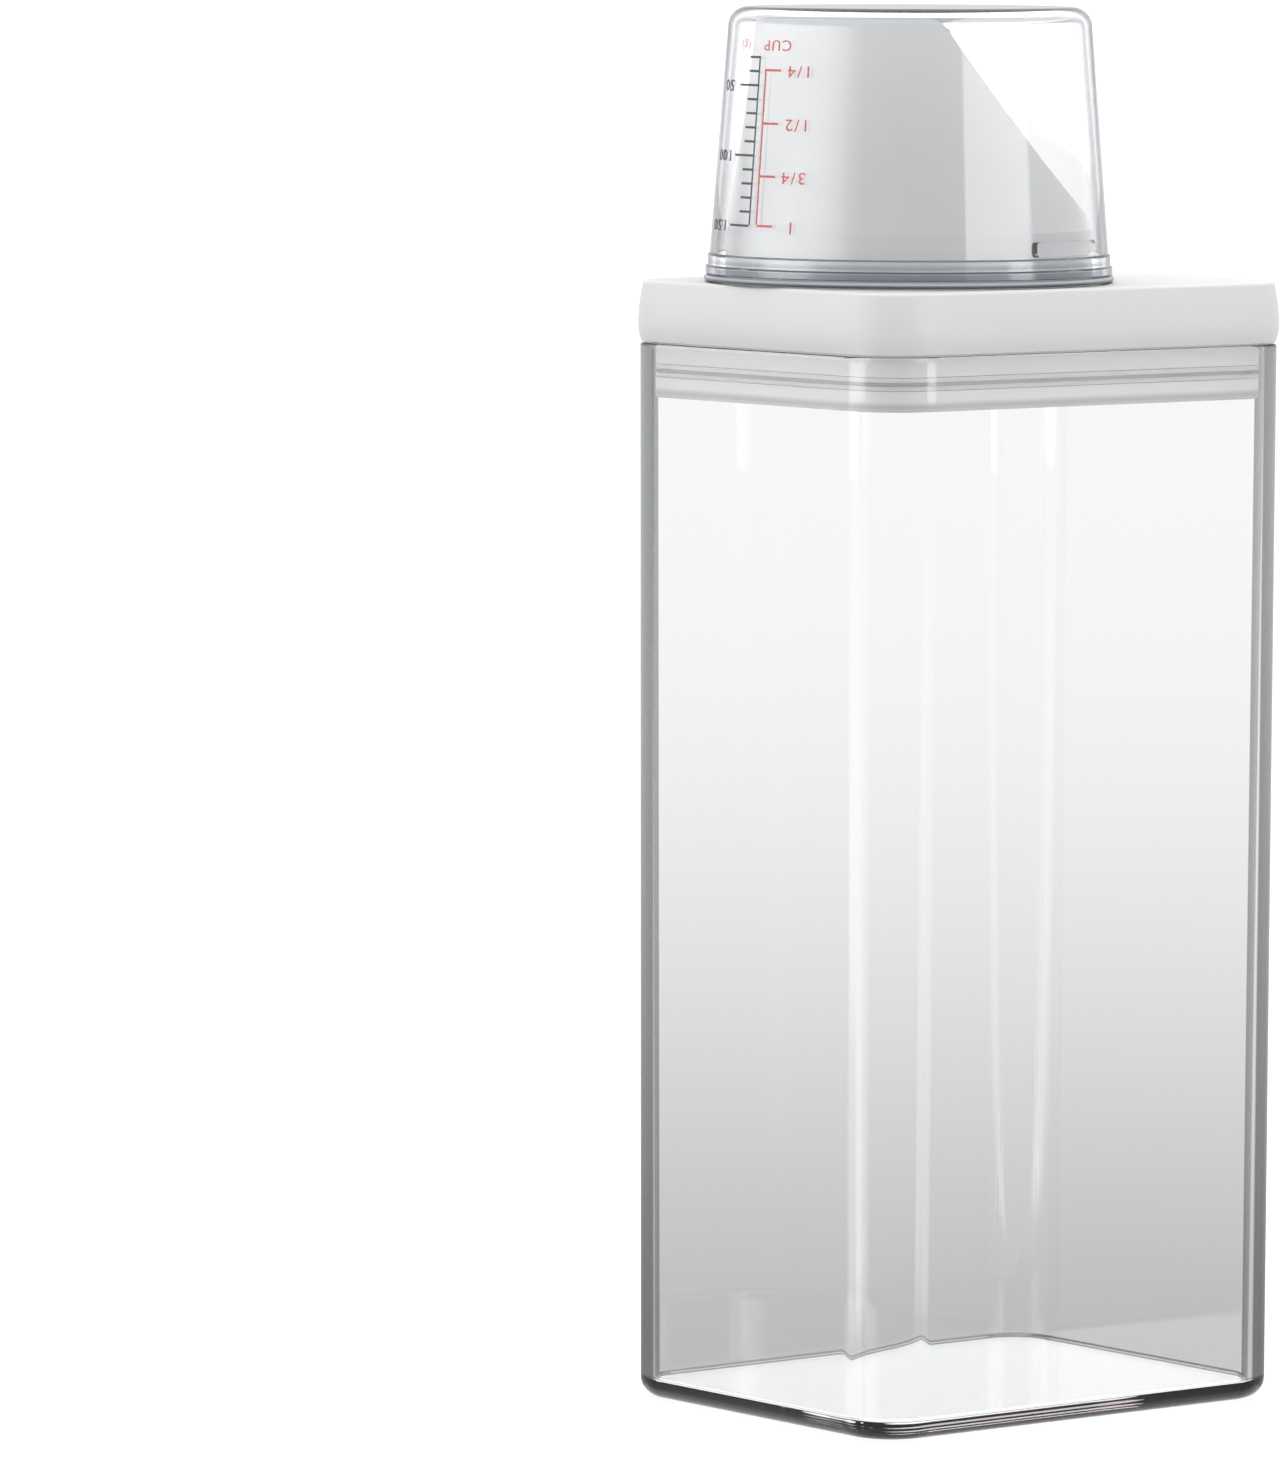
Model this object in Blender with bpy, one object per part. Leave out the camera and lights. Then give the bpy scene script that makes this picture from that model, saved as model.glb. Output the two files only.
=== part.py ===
"""Detergent dispenser bottle: a tall clear jar, a white lid, a slant-mouthed pour spout and a measuring cup.

All lengths are metres. The origin is the centre of the jar's underside. +Z is up, +X runs along the lid's
long side away from the spout, and -Y is the front. Each sub-part is one named object.
"""

import math

import bmesh
import bpy

# Jar
JAR_HALF = (0.0600, 0.0482)  # outer half sizes at the rim, X and Y
JAR_CORNER = 0.0140
JAR_HEIGHT = 0.2380
JAR_WALL = 0.0027  # at the rim
JAR_WALL_GROWTH = 0.0010  # how much thicker the wall is at the base
JAR_FLOOR = 0.0040
JAR_DRAFT = 0.00085  # how much each side draws in from rim to base
JAR_BASE_FILLET = 0.0045
JAR_INNER_FILLET = 0.0008
RIM_CHAMFER = 0.0004

# Lid
GAP = 0.0003  # clearance kept between touching pieces
LID_HALF = (0.0605, 0.0487)
LID_CORNER = 0.0145
LID_HEIGHT = 0.0137
LID_PROFILE = (  # outside, from the deck down: inset from the widest outline, share of the height
    (0.0024, 1.00),
    (0.0015, 0.985),
    (0.0010, 0.93),
    (0.0004, 0.66),
    (0.0000, 0.28),
    (0.0003, 0.10),
    (0.0010, 0.00),
)
LID_WALL = 0.0018
LID_DECK = 0.0020
LID_BOTTOM = JAR_HEIGHT + GAP
LID_TOP = LID_BOTTOM + LID_HEIGHT
DECK_UNDERSIDE = LID_TOP - LID_DECK

# Plug frame inside the lid and the gasket around it
PLUG_INSET = 0.0013  # clearance between the plug and the jar's inner wall
PLUG_DEPTH = 0.0121
PLUG_WALL = 0.0024
PLUG_PLATE = 0.0017
PLUG_CHAMFER = 0.0006
GROOVE_DEPTH = 0.0012
GROOVE_HEIGHT = 0.0030
GASKET_FIN = (0.0005, 0.0003)  # half thickness of the gasket's fin at its root and at its tip
GASKET_MIDDLE = JAR_HEIGHT - 0.0060
THROAT_RADIUS = 0.0360

# Spout
SPOUT_CENTRE = (-0.0145, 0.0)
SPOUT_WALL = 0.0016
SPOUT_HEIGHT = 0.0592  # above the lid
COLLAR_HEIGHT = 0.0125
COLLAR_RADIUS = 0.0409
CONE_BASE_RADIUS = 0.0405
CONE_TOP_RADIUS = 0.0344
CONE_CURVE = 1.25  # above 1, the cone flares towards its base
NECK_RADIUS = 0.0411
FLANGE_RADIUS = 0.0433
FLANGE_HEIGHT = 0.0016
SEAL_HEIGHT = 0.0011
SEAL_EDGE = 0.0002
MOUTH_ANGLE = math.radians(-39.8)  # the way the low lip faces, from +X
MOUTH_TOP_START = 0.0041  # where the flat top starts to round over, out from the axis
MOUTH_ROUND = 0.0050
MOUTH_BREAK = math.radians(6.0)  # how far round from level the rounding begins
MOUTH_SLOPE = math.radians(53.5)
MOUTH_SAG = 0.0006
MOUTH_LIP = (0.0409, 0.0131)  # the low lip: out from the axis, and up from the lid
MOUTH_CLEAR = 0.0200  # how far the cutter runs past the spout

# Measuring cup
CUP_HEIGHT = 0.0612  # top above the lid
CUP_RIM = 0.0019  # lower edge above the lid
CUP_WALL = 0.0012
CUP_END = 0.0015
CUP_BASE_RADIUS = 0.0443
CUP_DRAFT = 0.0775  # radius lost per unit of height
CUP_WALL_START = 0.0080  # height at which CUP_BASE_RADIUS is measured
CUP_END_FILLET = 0.0045
CUP_RIM_CHAMFER = 0.0003
CUP_RIM_WALL = 0.0020
STEPS = ((0.0454, 0.0037), (0.0449, 0.0063))  # rim steps: radius, top above the lid
STEP_BREAK = 0.0001
RIB_ANGLES = (math.radians(286.0), math.radians(106.0))
RIB_SPAN = math.radians(30.0)
RIB_HEIGHTS = (0.0067, 0.0101)
RING_RADII = (0.0436, 0.0457)  # seal ring below the cup, inner and outer
RING_HEIGHTS = (GAP, 0.0016)
RING_EDGE = 0.0004

CORNER_STEPS = 8  # segments in each rounded corner
ROUND_STEPS = 72  # segments in each full circle
FILLET_STEPS = 4
CONE_STEPS = 8  # rings up the spout's cone
SAG_STEPS = 10  # points along the mouth's slope
RIB_STEPS = 8
SHARP_ANGLE = math.radians(32.0)  # steeper edges than this are shaded sharp


def clear_scene():
    for obj in list(bpy.data.objects):
        bpy.data.objects.remove(obj, do_unlink=True)


def material(name, colour, roughness, alpha=1.0, transmission=0.0, ior=1.5):
    made = bpy.data.materials.new(name)
    made.use_nodes = True
    shader = made.node_tree.nodes["Principled BSDF"]
    shader.inputs["Base Color"].default_value = (*colour, 1.0)
    shader.inputs["Roughness"].default_value = roughness
    shader.inputs["Metallic"].default_value = 0.0
    shader.inputs["Alpha"].default_value = alpha
    shader.inputs["Transmission Weight"].default_value = transmission
    shader.inputs["IOR"].default_value = ior
    return made


def rounded_rect(half, corner, z):
    """A ring of points on a rounded rectangle, counter-clockwise from the +X side."""
    points = []
    for quarter, (side_x, side_y) in enumerate(((1, 1), (-1, 1), (-1, -1), (1, -1))):
        centre_x = side_x * (half[0] - corner)
        centre_y = side_y * (half[1] - corner)
        for step in range(CORNER_STEPS + 1):
            angle = math.pi / 2 * (quarter + step / CORNER_STEPS)
            x = centre_x + corner * math.cos(angle)
            y = centre_y + corner * math.sin(angle)
            points.append((x, y, z))
    return points


def inset_rect(half, corner, inset, z):
    return rounded_rect((half[0] - inset, half[1] - inset), corner - inset, z)


def circle(radius, z, centre=SPOUT_CENTRE):
    points = []
    for step in range(ROUND_STEPS):
        angle = 2 * math.pi * step / ROUND_STEPS
        x = centre[0] + radius * math.cos(angle)
        y = centre[1] + radius * math.sin(angle)
        points.append((x, y, z))
    return points


def fillet(start, radius, begin_deg, end_deg):
    """Points (across, z) on an arc about start, from begin_deg to end_deg."""
    points = []
    for step in range(FILLET_STEPS + 1):
        angle = math.radians(begin_deg + (end_deg - begin_deg) * step / FILLET_STEPS)
        points.append((start[0] + radius * math.cos(angle), start[1] + radius * math.sin(angle)))
    return points


def add_object(name, mesh, origin, paint):
    """Puts a mesh made in world coordinates on an object whose origin is at the given point."""
    for vertex in mesh.vertices:
        vertex.co.x -= origin[0]
        vertex.co.y -= origin[1]
        vertex.co.z -= origin[2]
    obj = bpy.data.objects.new(name, mesh)
    obj.location = origin
    bpy.context.scene.collection.objects.link(obj)
    if paint is not None:
        mesh.materials.append(paint)
    return obj


def loft(name, rings, paint, origin=(0.0, 0.0, 0.0), looped=False):
    """Skins the rings in order. The ends are capped, or joined to each other when looped."""
    mesh = bpy.data.meshes.new(name)
    work = bmesh.new()
    loops = [[work.verts.new(point) for point in ring] for ring in rings]
    count = len(loops[0])
    pairs = list(zip(loops, loops[1:]))
    if looped:
        pairs.append((loops[-1], loops[0]))
    else:
        work.faces.new(loops[0])
        work.faces.new(loops[-1])
    for lower, upper in pairs:
        for i in range(count):
            j = (i + 1) % count
            work.faces.new((lower[i], lower[j], upper[j], upper[i]))
    bmesh.ops.recalc_face_normals(work, faces=work.faces)
    work.to_mesh(mesh)
    work.free()
    mesh.shade_smooth()
    mesh.set_sharp_from_angle(angle=SHARP_ANGLE)
    return add_object(name, mesh, origin, paint)


def prism(name, outline, frame):
    """A cutter: an outline (out, up) swept sideways both ways, in a frame (centre, angle, base, reach)."""
    centre, angle, base, reach = frame
    along = (math.cos(angle), math.sin(angle))
    mesh = bpy.data.meshes.new(name)
    work = bmesh.new()
    sides = []
    for side in (-reach, reach):
        row = []
        for out, up in outline:
            x = centre[0] + out * along[0] - side * along[1]
            y = centre[1] + out * along[1] + side * along[0]
            row.append(work.verts.new((x, y, base + up)))
        sides.append(row)
        work.faces.new(row)
    count = len(outline)
    for i in range(count):
        j = (i + 1) % count
        work.faces.new((sides[0][i], sides[0][j], sides[1][j], sides[1][i]))
    bmesh.ops.recalc_face_normals(work, faces=work.faces)
    work.to_mesh(mesh)
    work.free()
    return add_object(name, mesh, (0.0, 0.0, 0.0), None)


def as_helper(obj):
    obj.hide_render = True
    obj.display_type = "WIRE"
    return obj


def combine(obj, other, operation):
    modifier = obj.modifiers.new(f"{operation.lower()}_{other.name}", "BOOLEAN")
    modifier.object = as_helper(other)
    modifier.operation = operation
    modifier.solver = "EXACT"


def make_jar(paint):
    """A drawn box, thick at the floor, with filleted base edges. Its walls thicken towards the base."""
    rings = []

    def outer_inset(z):
        return JAR_DRAFT * (1 - z / JAR_HEIGHT)

    def inner_inset(z):
        return (JAR_DRAFT + JAR_WALL_GROWTH) * (1 - z / JAR_HEIGHT)

    for across, z in fillet((JAR_BASE_FILLET, JAR_BASE_FILLET), JAR_BASE_FILLET, 270, 180):
        rings.append(inset_rect(JAR_HALF, JAR_CORNER, outer_inset(z) + across, z))
    shoulder = JAR_HEIGHT - RIM_CHAMFER
    rings.append(inset_rect(JAR_HALF, JAR_CORNER, outer_inset(shoulder), shoulder))
    rings.append(inset_rect(JAR_HALF, JAR_CORNER, RIM_CHAMFER, JAR_HEIGHT))
    rings.append(inset_rect(JAR_HALF, JAR_CORNER, JAR_WALL - RIM_CHAMFER, JAR_HEIGHT))
    rings.append(inset_rect(JAR_HALF, JAR_CORNER, inner_inset(shoulder) + JAR_WALL, shoulder))
    corner = (JAR_WALL + JAR_INNER_FILLET, JAR_FLOOR + JAR_INNER_FILLET)
    for across, z in fillet(corner, JAR_INNER_FILLET, 180, 270):
        rings.append(inset_rect(JAR_HALF, JAR_CORNER, inner_inset(z) + across, z))
    return loft("jar", rings, paint)


def make_lid_cover(paint):
    """A shallow tray upside down, bulging a little, with a bore and a locating rib for the spout."""
    rings = []
    for inset, share in LID_PROFILE:
        rings.append(inset_rect(LID_HALF, LID_CORNER, inset, LID_BOTTOM + LID_HEIGHT * share))
    rings.append(inset_rect(LID_HALF, LID_CORNER, LID_WALL, LID_BOTTOM))
    rings.append(inset_rect(LID_HALF, LID_CORNER, LID_WALL, DECK_UNDERSIDE))
    cover = loft("lid_cover", rings, paint, (0.0, 0.0, LID_BOTTOM))
    rib_foot = LID_BOTTOM + PLUG_PLATE + SEAL_HEIGHT + FLANGE_HEIGHT + 3 * GAP
    middle = DECK_UNDERSIDE + LID_DECK / 2
    rib = [circle(radius, z) for radius, z in (
        (FLANGE_RADIUS, rib_foot),
        (FLANGE_RADIUS, middle),
        (NECK_RADIUS - GAP, middle),
        (NECK_RADIUS - GAP, rib_foot),
    )]
    combine(cover, loft("lid_rib", rib, None, looped=True), "UNION")
    bore = [circle(NECK_RADIUS + GAP, z) for z in (rib_foot - LID_DECK, LID_TOP + LID_DECK)]
    combine(cover, loft("lid_bore", bore, None), "DIFFERENCE")
    return cover


def make_lid_plug(paint):
    """A plate over the jar's rim and a grooved wall that goes down inside the jar, with a round throat."""
    inner_half = (JAR_HALF[0] - JAR_WALL, JAR_HALF[1] - JAR_WALL)
    inner_corner = JAR_CORNER - JAR_WALL
    plate_half = (LID_HALF[0] - LID_WALL - GAP, LID_HALF[1] - LID_WALL - GAP)
    plate_corner = LID_CORNER - LID_WALL - GAP
    foot = JAR_HEIGHT - PLUG_DEPTH
    half_groove = GROOVE_HEIGHT / 2
    rings = [rounded_rect(plate_half, plate_corner, LID_BOTTOM + PLUG_PLATE)]
    rings.append(rounded_rect(plate_half, plate_corner, LID_BOTTOM))
    wall = (  # inset from the jar's inner wall, height
        (PLUG_INSET, LID_BOTTOM),
        (PLUG_INSET, GASKET_MIDDLE + half_groove),
        (PLUG_INSET + GROOVE_DEPTH, GASKET_MIDDLE + half_groove),
        (PLUG_INSET + GROOVE_DEPTH, GASKET_MIDDLE - half_groove),
        (PLUG_INSET, GASKET_MIDDLE - half_groove),
        (PLUG_INSET, foot + PLUG_CHAMFER),
        (PLUG_INSET + PLUG_CHAMFER, foot),
        (PLUG_INSET + PLUG_WALL, foot),
        (PLUG_INSET + PLUG_WALL, LID_BOTTOM),
    )
    rings += [inset_rect(inner_half, inner_corner, inset, z) for inset, z in wall]
    plug = loft("lid_plug", rings, paint, (0.0, 0.0, LID_BOTTOM))
    throat = [circle(THROAT_RADIUS, z) for z in (LID_BOTTOM - PLUG_PLATE, LID_BOTTOM + 2 * PLUG_PLATE)]
    combine(plug, loft("plug_throat", throat, None), "DIFFERENCE")
    return plug


def make_lid_gasket(paint):
    """A soft ring that fills the plug's groove, with a thin fin against the jar."""
    inner_half = (JAR_HALF[0] - JAR_WALL, JAR_HALF[1] - JAR_WALL)
    inner_corner = JAR_CORNER - JAR_WALL
    back = PLUG_INSET + GROOVE_DEPTH - GAP
    half_height = GROOVE_HEIGHT / 2 - GAP
    root, tip = GASKET_FIN
    section = (
        (back, -half_height),
        (PLUG_INSET, -half_height),
        (PLUG_INSET, -root),
        (GAP, -tip),
        (GAP, tip),
        (PLUG_INSET, root),
        (PLUG_INSET, half_height),
        (back, half_height),
    )
    rings = [inset_rect(inner_half, inner_corner, inset, GASKET_MIDDLE + up) for inset, up in section]
    return loft("lid_gasket", rings, paint, (0.0, 0.0, LID_BOTTOM), looped=True)


def spout_radius(up):
    """Outer radius of the cone at a height above the lid."""
    left = 1 - (up - COLLAR_HEIGHT) / (SPOUT_HEIGHT - COLLAR_HEIGHT)
    return CONE_TOP_RADIUS + (CONE_BASE_RADIUS - CONE_TOP_RADIUS) * left**CONE_CURVE


def mouth_outline():
    """The cut above the slanted mouth as (out from the axis, up from the lid)."""
    centre = (MOUTH_TOP_START, SPOUT_HEIGHT - MOUTH_ROUND)
    points = [(MOUTH_TOP_START - GAP, SPOUT_HEIGHT + GAP)]
    points += fillet(centre, MOUTH_ROUND, 90 - math.degrees(MOUTH_BREAK), 90 - math.degrees(MOUTH_SLOPE))
    start = points[-1]
    span = (MOUTH_LIP[0] - start[0], MOUTH_LIP[1] - start[1])
    length = math.hypot(*span)
    for step in range(1, SAG_STEPS + 1):
        t = step / SAG_STEPS
        dip = 4 * MOUTH_SAG * t * (1 - t)
        out = start[0] + span[0] * t + dip * span[1] / length
        up = start[1] + span[1] * t - dip * span[0] / length
        points.append((out, up))
    points.append((MOUTH_LIP[0] + MOUTH_CLEAR, MOUTH_LIP[1]))
    points.append((MOUTH_LIP[0] + MOUTH_CLEAR, SPOUT_HEIGHT + MOUTH_CLEAR))
    points.append((MOUTH_TOP_START - GAP, SPOUT_HEIGHT + MOUTH_CLEAR))
    return points


def make_spout(paint):
    """A flared tube with a flange below the lid's deck and a slanted mouth."""
    flange_foot = LID_BOTTOM + PLUG_PLATE + SEAL_HEIGHT + 2 * GAP
    rise = (SPOUT_HEIGHT - COLLAR_HEIGHT) / CONE_STEPS
    heights = [COLLAR_HEIGHT + rise * step for step in range(CONE_STEPS + 1)]
    outer = [
        (FLANGE_RADIUS - GAP, flange_foot),
        (FLANGE_RADIUS - GAP, flange_foot + FLANGE_HEIGHT),
        (NECK_RADIUS, flange_foot + FLANGE_HEIGHT),
        (NECK_RADIUS, LID_TOP),
        (COLLAR_RADIUS, LID_TOP + 2 * GAP),
        (COLLAR_RADIUS, LID_TOP + COLLAR_HEIGHT - GAP),
    ]
    outer += [(spout_radius(up), LID_TOP + up) for up in heights]
    inner = [(spout_radius(up) - SPOUT_WALL, LID_TOP + up) for up in reversed(heights)]
    inner.append((CONE_BASE_RADIUS - SPOUT_WALL, flange_foot))
    rings = [circle(radius, z) for radius, z in outer + inner]
    spout = loft("spout", rings, paint, (*SPOUT_CENTRE, LID_TOP), looped=True)
    reach = 2 * COLLAR_RADIUS
    cut = prism("mouth_cut", mouth_outline(), (SPOUT_CENTRE, MOUTH_ANGLE, LID_TOP, reach))
    combine(spout, cut, "DIFFERENCE")
    return spout


def make_spout_seal(paint):
    """A flat soft ring between the spout's flange and the plug's plate."""
    foot = LID_BOTTOM + PLUG_PLATE + GAP
    rim = FLANGE_RADIUS - GAP
    section = (
        (THROAT_RADIUS + GAP, foot),
        (rim - SEAL_EDGE, foot),
        (rim, foot + SEAL_EDGE),
        (rim, foot + SEAL_HEIGHT - SEAL_EDGE),
        (rim - SEAL_EDGE, foot + SEAL_HEIGHT),
        (THROAT_RADIUS + GAP, foot + SEAL_HEIGHT),
    )
    rings = [circle(radius, z) for radius, z in section]
    return loft("spout_seal", rings, paint, (*SPOUT_CENTRE, LID_TOP), looped=True)


def cup_radius(up):
    """Outer radius of the cup's wall at a height above the lid."""
    return CUP_BASE_RADIUS - (up - CUP_WALL_START) * CUP_DRAFT


def cup_rib(angle):
    """An arc-shaped rib that joins the cup's inner wall and comes close to the spout's collar."""
    low, high = RIB_HEIGHTS
    mesh = bpy.data.meshes.new("cup_rib")
    work = bmesh.new()
    rows = []
    for step in range(RIB_STEPS + 1):
        turn = angle + RIB_SPAN * (step / RIB_STEPS - 0.5)
        row = []
        for radius, up in (
            (COLLAR_RADIUS + GAP, low),
            (cup_radius(low) - CUP_WALL / 2, low),
            (cup_radius(high) - CUP_WALL / 2, high),
            (COLLAR_RADIUS + GAP, high),
        ):
            x = SPOUT_CENTRE[0] + radius * math.cos(turn)
            y = SPOUT_CENTRE[1] + radius * math.sin(turn)
            row.append(work.verts.new((x, y, LID_TOP + up)))
        rows.append(row)
    work.faces.new(rows[0])
    work.faces.new(rows[-1])
    for first, second in zip(rows, rows[1:]):
        for i in range(4):
            j = (i + 1) % 4
            work.faces.new((first[i], first[j], second[j], second[i]))
    bmesh.ops.recalc_face_normals(work, faces=work.faces)
    work.to_mesh(mesh)
    work.free()
    return add_object(f"cup_rib_{round(math.degrees(angle))}", mesh, (0.0, 0.0, 0.0), None)


def make_cup(paint):
    """A clear tapered cup, upside down over the spout, with a stepped rim and two grip ribs inside."""
    outer = [(STEPS[0][0] - CUP_RIM_CHAMFER, CUP_RIM)]
    foot = CUP_RIM
    for radius, top in STEPS:
        outer += [(radius, foot + STEP_BREAK), (radius, top)]
        foot = top
    outer.append((cup_radius(foot), foot + GAP))
    end_radius = cup_radius(CUP_HEIGHT - CUP_END_FILLET)
    corner = (end_radius - CUP_END_FILLET, CUP_HEIGHT - CUP_END_FILLET)
    outer += fillet(corner, CUP_END_FILLET, 4, 90)
    inner_fillet = CUP_END_FILLET - CUP_END
    inner = fillet(corner, inner_fillet, 90, 4)
    inner.append((cup_radius(CUP_WALL_START) - CUP_WALL, CUP_WALL_START))
    inner.append((STEPS[0][0] - CUP_RIM_WALL, CUP_RIM))
    rings = [circle(radius, LID_TOP + up) for radius, up in reversed(outer)]
    rings += [circle(radius, LID_TOP + up) for radius, up in reversed(inner)]
    cup = loft("measuring_cup", rings, paint, (*SPOUT_CENTRE, LID_TOP))
    for angle in RIB_ANGLES:
        combine(cup, cup_rib(angle), "UNION")
    return cup


def make_cup_ring(paint):
    """A soft seal ring below the cup's rim."""
    low, high = RING_HEIGHTS
    inner, outer = RING_RADII
    section = (
        (inner, low),
        (outer - RING_EDGE, low),
        (outer, low + RING_EDGE),
        (outer, high - RING_EDGE),
        (outer - RING_EDGE, high),
        (inner, high),
    )
    rings = [circle(radius, LID_TOP + up) for radius, up in section]
    return loft("cup_ring", rings, paint, (*SPOUT_CENTRE, LID_TOP), looped=True)


def main():
    clear_scene()
    clear = (0.93, 0.95, 0.96)
    make_jar(material("clear_jar", clear, 0.04, alpha=0.35, transmission=1.0, ior=1.49))
    make_lid_cover(material("white_lid", (0.84, 0.84, 0.83), 0.38))
    make_lid_plug(material("white_plug", (0.80, 0.80, 0.79), 0.42))
    make_lid_gasket(material("clear_silicone", (0.74, 0.75, 0.75), 0.50))
    make_spout(material("frosted_spout", (0.74, 0.75, 0.76), 0.45))
    make_spout_seal(material("seal_silicone", (0.74, 0.75, 0.75), 0.50))
    make_cup(material("clear_cup", clear, 0.04, alpha=0.35, transmission=1.0, ior=1.49))
    make_cup_ring(material("grey_silicone", (0.42, 0.46, 0.52), 0.35))


main()
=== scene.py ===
"""Looks for the detergent dispenser bottle: meshes, procedural finishes, a printed scale, a studio.

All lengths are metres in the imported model's frame: origin at the centre of the jar's underside, +Z up.
Each piece stands where its CAD node is, and rides on that node's body.
"""

import math

import bmesh
import bpy
from mathutils import Matrix, Vector


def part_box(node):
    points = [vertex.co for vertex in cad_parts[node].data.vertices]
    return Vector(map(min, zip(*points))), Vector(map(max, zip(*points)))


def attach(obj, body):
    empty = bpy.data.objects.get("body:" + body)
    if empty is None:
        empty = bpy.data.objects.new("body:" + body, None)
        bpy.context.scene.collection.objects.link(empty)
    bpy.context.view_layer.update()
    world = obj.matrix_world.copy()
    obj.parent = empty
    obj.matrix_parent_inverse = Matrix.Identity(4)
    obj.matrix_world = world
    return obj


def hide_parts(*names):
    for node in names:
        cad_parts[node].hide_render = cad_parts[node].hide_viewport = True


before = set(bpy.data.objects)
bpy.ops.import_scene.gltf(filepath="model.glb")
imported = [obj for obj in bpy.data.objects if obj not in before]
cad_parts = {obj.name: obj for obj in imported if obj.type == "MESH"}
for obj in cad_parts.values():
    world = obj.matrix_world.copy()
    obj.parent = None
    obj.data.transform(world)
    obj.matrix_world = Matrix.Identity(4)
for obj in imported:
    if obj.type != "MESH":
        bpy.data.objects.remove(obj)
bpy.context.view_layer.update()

JAR_LOW, JAR_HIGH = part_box("jar")
LID_LOW, LID_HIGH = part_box("lid_cover")
PLUG_LOW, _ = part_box("lid_plug")
GASKET_LOW, GASKET_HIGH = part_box("lid_gasket")
SPOUT_LOW, SPOUT_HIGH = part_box("spout")
CUP_LOW, CUP_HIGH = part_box("measuring_cup")
RING_LOW, RING_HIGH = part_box("cup_ring")

GAP = 0.0003  # clearance kept between touching pieces

# Jar
JAR_HALF = (JAR_HIGH.x, JAR_HIGH.y)
JAR_HEIGHT = JAR_HIGH.z
JAR_CORNER = 0.0140
JAR_WALL = 0.0027  # at the rim
JAR_WALL_GROWTH = 0.0010  # how much thicker the wall is at the base
JAR_FLOOR = 0.0040
JAR_DRAFT = 0.00085  # how much each side draws in from rim to base
JAR_BASE_FILLET = 0.0045
JAR_INNER_FILLET = 0.0008
JAR_RIM_ROUND = 0.0006

# Lid
LID_HALF = (LID_HIGH.x, LID_HIGH.y)
LID_HEIGHT = LID_HIGH.z - LID_LOW.z
LID_CORNER = 0.0145
LID_WALL = 0.0018
LID_DECK = 0.0020
LID_TOP = LID_HIGH.z
LID_TOP_ROUND = 0.0010
LID_FOOT_ROUND = 0.0004
LID_WIDEST = 0.28  # share of the height at which the lid is widest
LID_LEAN = 0.0010  # how far the side leans in from there to the top rounding
LID_TUCK = 0.0006  # and to the foot
PLUG_INSET = 0.0013
PLUG_WALL = 0.0024
PLUG_PLATE = 0.0017
PLUG_ROUND = 0.0006
GROOVE_DEPTH = 0.0012
GROOVE_HEIGHT = 0.0030
GROOVE_GAP = 0.0001
GASKET_FIN = (0.0005, 0.0003)  # half thickness of the gasket's fin at its root and at its tip
GASKET_MIDDLE = (GASKET_LOW.z + GASKET_HIGH.z) / 2
THROAT_RADIUS = 0.0360

# Spout
SPOUT_AXIS = ((CUP_LOW.x + CUP_HIGH.x) / 2, (CUP_LOW.y + CUP_HIGH.y) / 2)
SPOUT_WALL = 0.0016
SPOUT_HEIGHT = SPOUT_HIGH.z - LID_TOP
COLLAR_HEIGHT = 0.0125
COLLAR_RADIUS = 0.0409
CONE_BASE_RADIUS = 0.0405
CONE_TOP_RADIUS = 0.0344
CONE_CURVE = 1.25
NECK_RADIUS = 0.0411
FLANGE_RADIUS = 0.0433
FLANGE_HEIGHT = 0.0016
MOUTH_ANGLE = math.radians(-39.8)
MOUTH_TOP_START = 0.0041
MOUTH_ROUND = 0.0050
MOUTH_ROUND_BEGIN = 84  # degrees
MOUTH_SLOPE = 53.5  # degrees
MOUTH_SAG = 0.0006
MOUTH_LIP = (0.0409, 0.0131)

# Measuring cup, heights above the lid
CUP_RIM = CUP_LOW.z - LID_TOP
CUP_HEIGHT = CUP_HIGH.z - LID_TOP
CUP_WALL = 0.0012
CUP_END = 0.0015
CUP_BASE_RADIUS = 0.0443
CUP_DRAFT = 0.0775  # radius lost per unit of height
CUP_WALL_START = 0.0080
CUP_END_FILLET = 0.0045
CUP_RIM_WALL = 0.0020
CUP_CHAMFER = 0.0002
CUP_SLANT = 4  # degrees that the wall's side leans, where the end fillet starts
STEPS = ((0.0454, 0.0037), (0.0449, 0.0063))  # rim steps: radius, top
RIB_ANGLES = (286.0, 106.0)
RIB_SPAN = 30.0  # degrees
RIB_HEIGHTS = (0.0067, 0.0101)
RIB_ROUNDING = 0.6  # share of half the rib's height that its ends are rounded by
RING_RADII = (0.0436, 0.0457)

# Mesh fineness
CORNER_STEPS = 20
ROUND_STEPS = 192
FILLET_STEPS = 10
SMALL_STEPS = 5
CURVE_STEPS = 24
FLAT_MARGIN = 0.0006  # how near a flat's first row of points lies to the curve it meets
SHARP = math.radians(35.0)

# Camera: distance from the bottle's axis, height, and the way it is turned from facing that axis
VIEW_AZIMUTH = math.radians(39.56)
CAMERA_DISTANCE = 2.240
CAMERA_HEIGHT = 0.3476
CAMERA_YAW = math.radians(-1.807)
CAMERA_PITCH = math.radians(5.092)
CAMERA_ROLL = math.radians(0.175)
CAMERA_LENS = 242.75
CAMERA_SENSOR = 36.0
CAMERA_CLIP = (0.05, 200.0)


# ---------------------------------------------------------------- shapes


def arc(centre, radius, begin, end, steps=FILLET_STEPS):
    """Points (across, up) on an arc about centre, from begin to end degrees."""
    points = []
    for step in range(steps + 1):
        angle = math.radians(begin + (end - begin) * step / steps)
        points.append((centre[0] + radius * math.cos(angle), centre[1] + radius * math.sin(angle)))
    return points


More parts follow.
